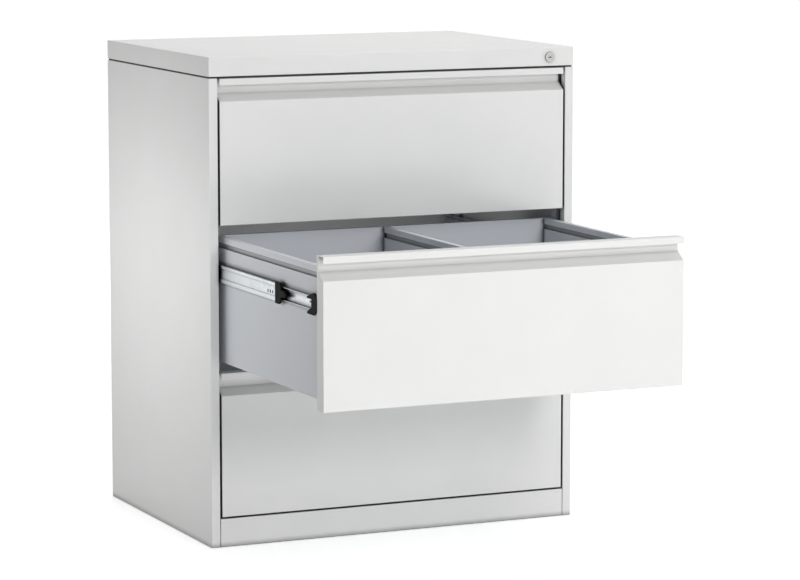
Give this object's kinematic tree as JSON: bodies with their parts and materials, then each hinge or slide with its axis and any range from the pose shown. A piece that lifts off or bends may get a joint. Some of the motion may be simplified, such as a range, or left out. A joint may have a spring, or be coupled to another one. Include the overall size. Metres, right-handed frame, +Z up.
{
  "type": "hanging file cabinet",
  "caption": "Steel hanging file cabinet: wide drawers with side-by-side file lanes on telescopic ball slides, folded grip lips and a central lock in the top cover.",
  "frame": {"origin": "on the floor, under the middle of the cabinet's body", "axes": "+Z up; the drawer fronts face -Y and the drawers open towards -Y; +X is to the right seen from the front, the lock's side"},
  "size_m": [0.82, 1.1265, 1],
  "materials": {
    "outer_paint": "satin",
    "inner_paint": "satin",
    "dark_paint": "matte",
    "zinc": "satin",
    "nickel": "polished",
    "black_plastic": "matte"
  },
  "bodies": {
    "cabinet": {"side_panel_left": "outer_paint", "side_panel_right": "outer_paint", "back_panel": "outer_paint", "top_cover": "outer_paint", "top_frame": "dark_paint", "base_frame": "inner_paint", "plinth_panel": "outer_paint", "posts": "inner_paint", "rivets": "zinc", "cabinet_rails": "zinc", "lock_housing": "nickel", "lock_nut": "zinc", "lock_guides": "black_plastic"},
    "drawer_top": {"top_front_shell": "outer_paint", "top_front_liner": "inner_paint", "top_side_left": "inner_paint", "top_side_right": "inner_paint", "top_back": "inner_paint", "top_floor": "inner_paint", "top_divider": "inner_paint", "top_drawer_rails": "zinc", "top_end_caps": "black_plastic", "top_lock_lug": "zinc"},
    "telescope_top": {"top_telescope_rails": "zinc", "top_bumpers": "black_plastic"},
    "outer_cage_top": {"top_outer_cages": "zinc"},
    "inner_cage_top": {"top_inner_cages": "zinc"},
    "drawer_middle": {"middle_front_shell": "outer_paint", "middle_front_liner": "inner_paint", "middle_side_left": "inner_paint", "middle_side_right": "inner_paint", "middle_back": "inner_paint", "middle_floor": "inner_paint", "middle_divider": "inner_paint", "middle_drawer_rails": "zinc", "middle_end_caps": "black_plastic", "middle_lock_lug": "zinc"},
    "telescope_middle": {"middle_telescope_rails": "zinc", "middle_bumpers": "black_plastic"},
    "outer_cage_middle": {"middle_outer_cages": "zinc"},
    "inner_cage_middle": {"middle_inner_cages": "zinc"},
    "drawer_bottom": {"bottom_front_shell": "outer_paint", "bottom_front_liner": "inner_paint", "bottom_side_left": "inner_paint", "bottom_side_right": "inner_paint", "bottom_back": "inner_paint", "bottom_floor": "inner_paint", "bottom_divider": "inner_paint", "bottom_drawer_rails": "zinc", "bottom_end_caps": "black_plastic", "bottom_lock_lug": "zinc"},
    "telescope_bottom": {"bottom_telescope_rails": "zinc", "bottom_bumpers": "black_plastic"},
    "outer_cage_bottom": {"bottom_outer_cages": "zinc"},
    "inner_cage_bottom": {"bottom_inner_cages": "zinc"},
    "lock_core": {"lock_plug": "nickel", "lock_cam": "zinc"},
    "lock_rod": {"lock_bar": "zinc", "lock_bar_arm": "zinc", "lock_bar_tabs": "zinc"}
  },
  "joints": [
    {"name": "drawer_top_slide", "type": "slide", "parent": "cabinet", "child": "drawer_top", "axis": [0, -1, 0], "range_m": [0, 0.525]},
    {"name": "telescope_top_slide", "type": "slide", "parent": "cabinet", "child": "telescope_top", "axis": [0, -1, 0], "range_m": [0, 0.40182]},
    {"name": "outer_cage_top_slide", "type": "slide", "parent": "cabinet", "child": "outer_cage_top", "axis": [0, -1, 0], "range_m": [0, 0.20101]},
    {"name": "inner_cage_top_slide", "type": "slide", "parent": "cabinet", "child": "inner_cage_top", "axis": [0, -1, 0], "range_m": [0, 0.46351]},
    {"name": "drawer_middle_slide", "type": "slide", "parent": "cabinet", "child": "drawer_middle", "axis": [0, -1, 0], "range_m": [-0.525, 0]},
    {"name": "telescope_middle_slide", "type": "slide", "parent": "cabinet", "child": "telescope_middle", "axis": [0, -1, 0], "range_m": [-0.40182, 0]},
    {"name": "outer_cage_middle_slide", "type": "slide", "parent": "cabinet", "child": "outer_cage_middle", "axis": [0, -1, 0], "range_m": [-0.20101, 0]},
    {"name": "inner_cage_middle_slide", "type": "slide", "parent": "cabinet", "child": "inner_cage_middle", "axis": [0, -1, 0], "range_m": [-0.46351, 0]},
    {"name": "drawer_bottom_slide", "type": "slide", "parent": "cabinet", "child": "drawer_bottom", "axis": [0, -1, 0], "range_m": [0, 0.525]},
    {"name": "telescope_bottom_slide", "type": "slide", "parent": "cabinet", "child": "telescope_bottom", "axis": [0, -1, 0], "range_m": [0, 0.40182]},
    {"name": "outer_cage_bottom_slide", "type": "slide", "parent": "cabinet", "child": "outer_cage_bottom", "axis": [0, -1, 0], "range_m": [0, 0.20101]},
    {"name": "inner_cage_bottom_slide", "type": "slide", "parent": "cabinet", "child": "inner_cage_bottom", "axis": [0, -1, 0], "range_m": [0, 0.46351]},
    {"name": "lock_bar_lift", "type": "slide", "parent": "cabinet", "child": "lock_rod", "axis": [0, 0, 1], "range_m": [0, 0.012]},
    {"name": "lock_turn", "type": "hinge", "parent": "cabinet", "child": "lock_core", "pos_m": [0.354, -0.3, 0.979], "axis": [0, -1, 0], "range_deg": [0, 90]}
  ],
  "couplings": [
    {"joint": "telescope_top_slide", "follows": "drawer_top_slide", "ratio": 0.765},
    {"joint": "outer_cage_top_slide", "follows": "drawer_top_slide", "ratio": 0.3825},
    {"joint": "inner_cage_top_slide", "follows": "drawer_top_slide", "ratio": 0.8825},
    {"joint": "telescope_middle_slide", "follows": "drawer_middle_slide", "ratio": 0.765},
    {"joint": "outer_cage_middle_slide", "follows": "drawer_middle_slide", "ratio": 0.3825},
    {"joint": "inner_cage_middle_slide", "follows": "drawer_middle_slide", "ratio": 0.8825},
    {"joint": "telescope_bottom_slide", "follows": "drawer_bottom_slide", "ratio": 0.765},
    {"joint": "outer_cage_bottom_slide", "follows": "drawer_bottom_slide", "ratio": 0.3825},
    {"joint": "inner_cage_bottom_slide", "follows": "drawer_bottom_slide", "ratio": 0.8825},
    {"joint": "lock_turn", "follows": "lock_bar_lift", "rad_per_m": 130.9}
  ]
}
